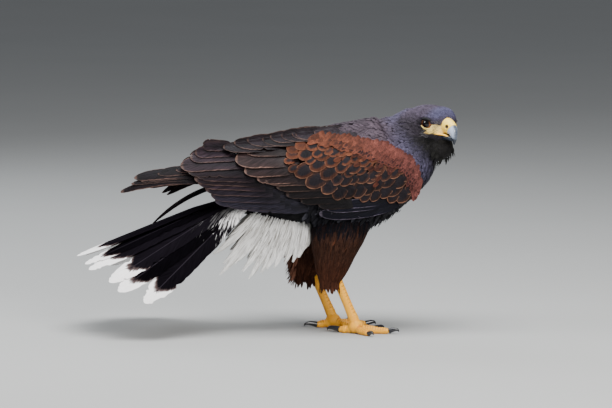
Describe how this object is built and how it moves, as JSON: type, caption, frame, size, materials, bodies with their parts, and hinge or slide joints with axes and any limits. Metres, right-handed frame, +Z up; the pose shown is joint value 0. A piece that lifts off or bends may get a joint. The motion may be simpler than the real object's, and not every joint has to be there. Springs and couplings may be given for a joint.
{
  "type": "harris hawk",
  "caption": "Life-size standing bay-winged hawk with folded wings, its head turned to its right, hooked bill, feathered thighs and a fanned white-tipped tail.",
  "frame": {"origin": "on the floor under the middle of the bird's outline", "axes": "+X the way the body faces, +Y its left side, +Z up"},
  "size_m": [0.4558, 0.2192, 0.2722],
  "materials": {
    "dark_feathers": "matte",
    "wing_feathers": "matte",
    "tail_feathers": "satin",
    "white_plumes": "matte",
    "rufous_feathers": "matte",
    "leg_skin": "satin",
    "cere_skin": "satin",
    "bill_horn": "satin",
    "claw_horn": "gloss",
    "eye": "gloss"
  },
  "bodies": {
    "root": {"bill_lower": "bill_horn", "bill_upper": "bill_horn", "cere": "cere_skin", "claw_left_1": "claw_horn", "claw_left_2": "claw_horn", "claw_left_3": "claw_horn", "claw_left_4": "claw_horn", "claw_right_1": "claw_horn", "claw_right_2": "claw_horn", "claw_right_3": "claw_horn", "claw_right_4": "claw_horn", "eye_left": "eye", "eye_right": "eye", "foot_left": "leg_skin", "foot_right": "leg_skin", "head": "dark_feathers", "neck": "dark_feathers", "tail": "tail_feathers", "tarsus_left": "leg_skin", "tarsus_right": "leg_skin", "thigh_left": "rufous_feathers", "thigh_right": "rufous_feathers", "torso": "dark_feathers", "undertail_coverts": "white_plumes", "wing_left": "wing_feathers", "wing_right": "wing_feathers"}
  },
  "joints": []
}
